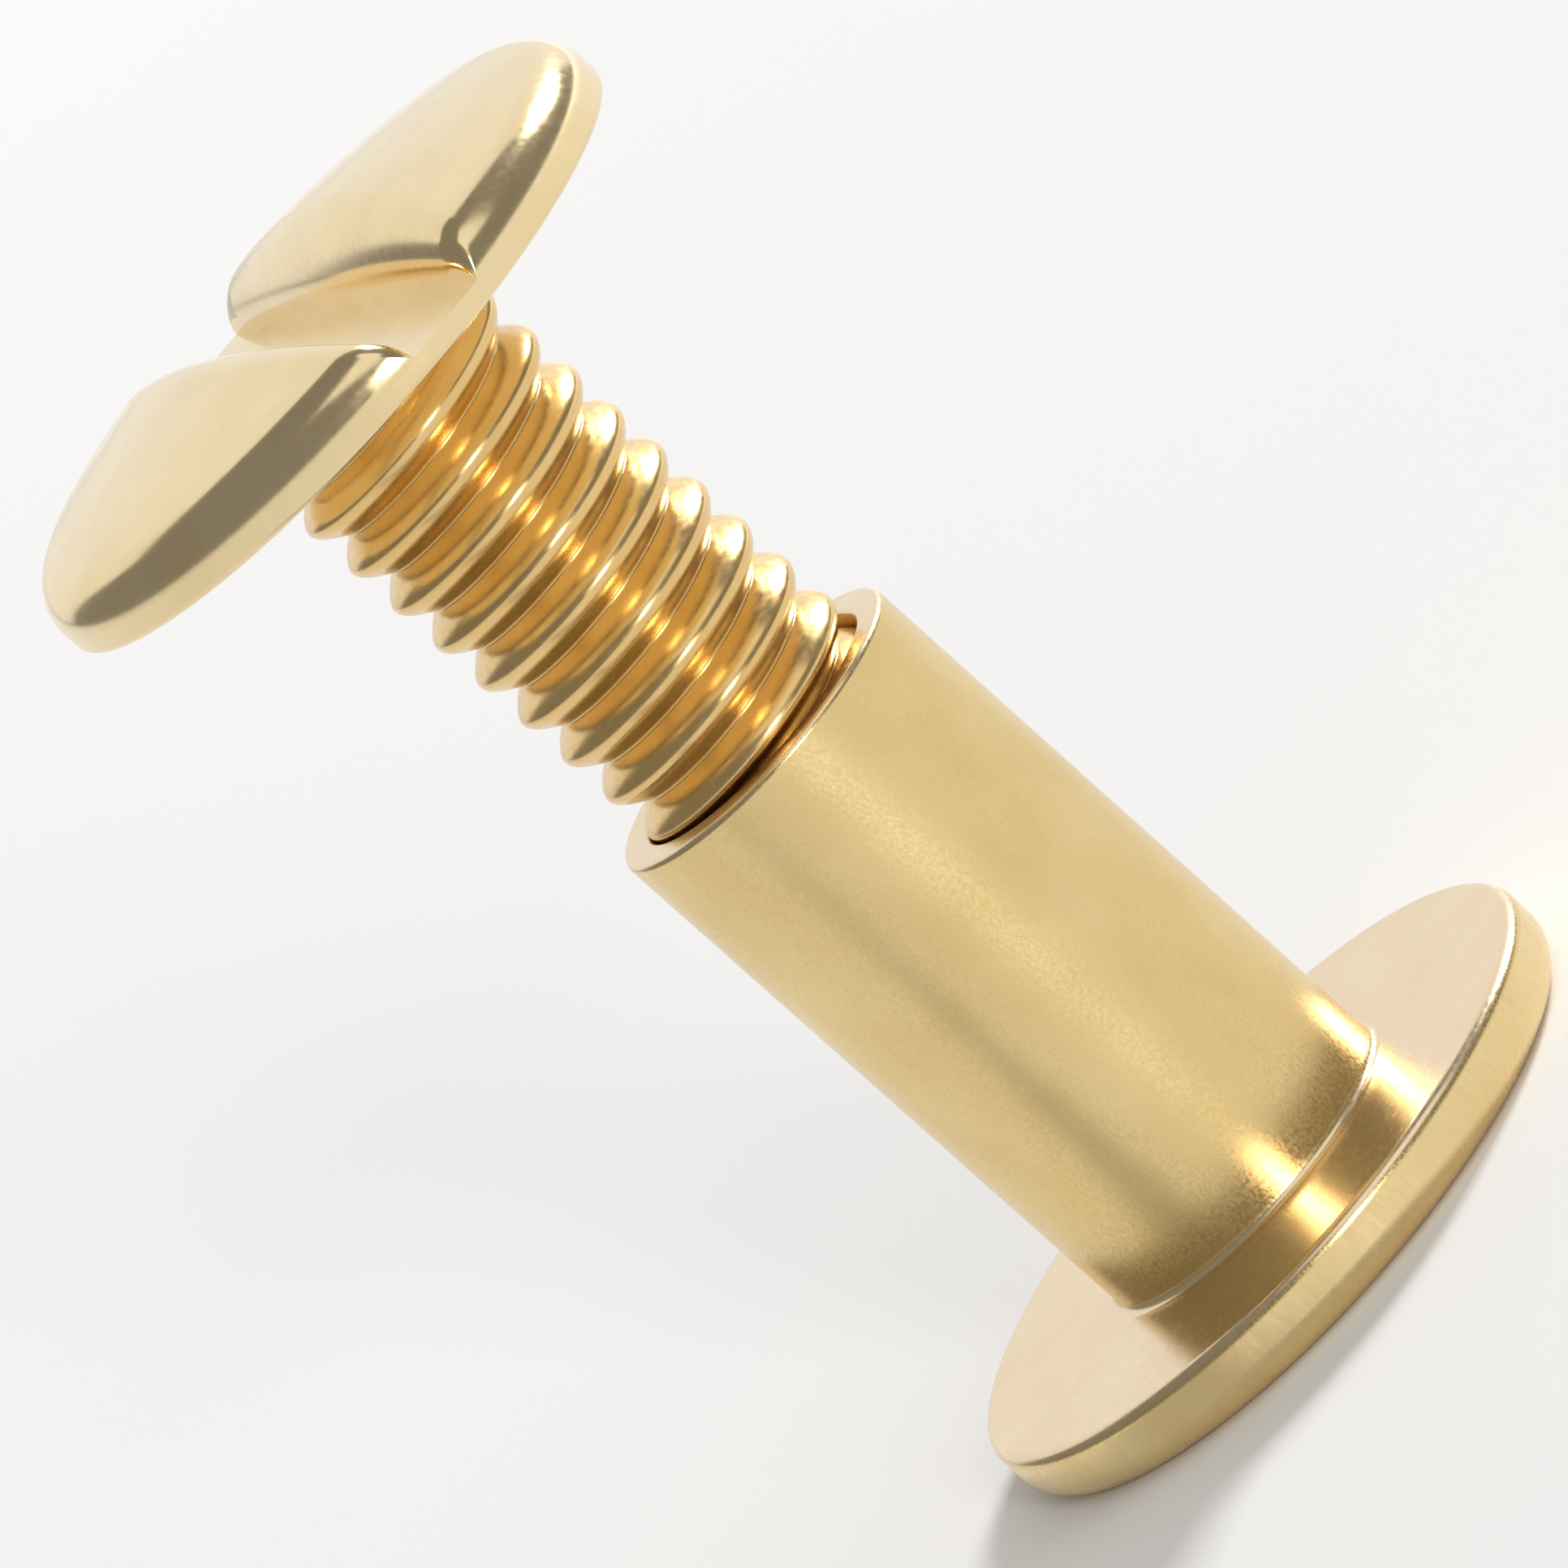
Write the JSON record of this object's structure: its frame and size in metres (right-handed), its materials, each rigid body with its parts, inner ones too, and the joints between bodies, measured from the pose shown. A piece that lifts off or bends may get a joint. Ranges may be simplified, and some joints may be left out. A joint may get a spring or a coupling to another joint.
{
  "type": "binding barrel screw",
  "caption": "Two-part brass fastener: a slotted dome-head screw turned into a flanged barrel, clamping sheets between head and flange.",
  "frame": {"origin": "centre of the flange's outer face, which the part stands on", "axes": "+Z along the common axis, from the flange up to the screw's head"},
  "size_m": [0.0104, 0.0104, 0.0197],
  "materials": {
    "barrel_brass": "satin turned barrel, polished flange",
    "screw_brass": "polished"
  },
  "bodies": {
    "barrel": {"barrel_post": "barrel_brass"},
    "screw": {"slotted_screw": "screw_brass"}
  },
  "joints": [
    {"name": "screw_travel", "type": "slide", "parent": "barrel", "child": "screw", "axis": [0, 0, 1], "range_m": [-0.0076, 0.00198]}
  ]
}
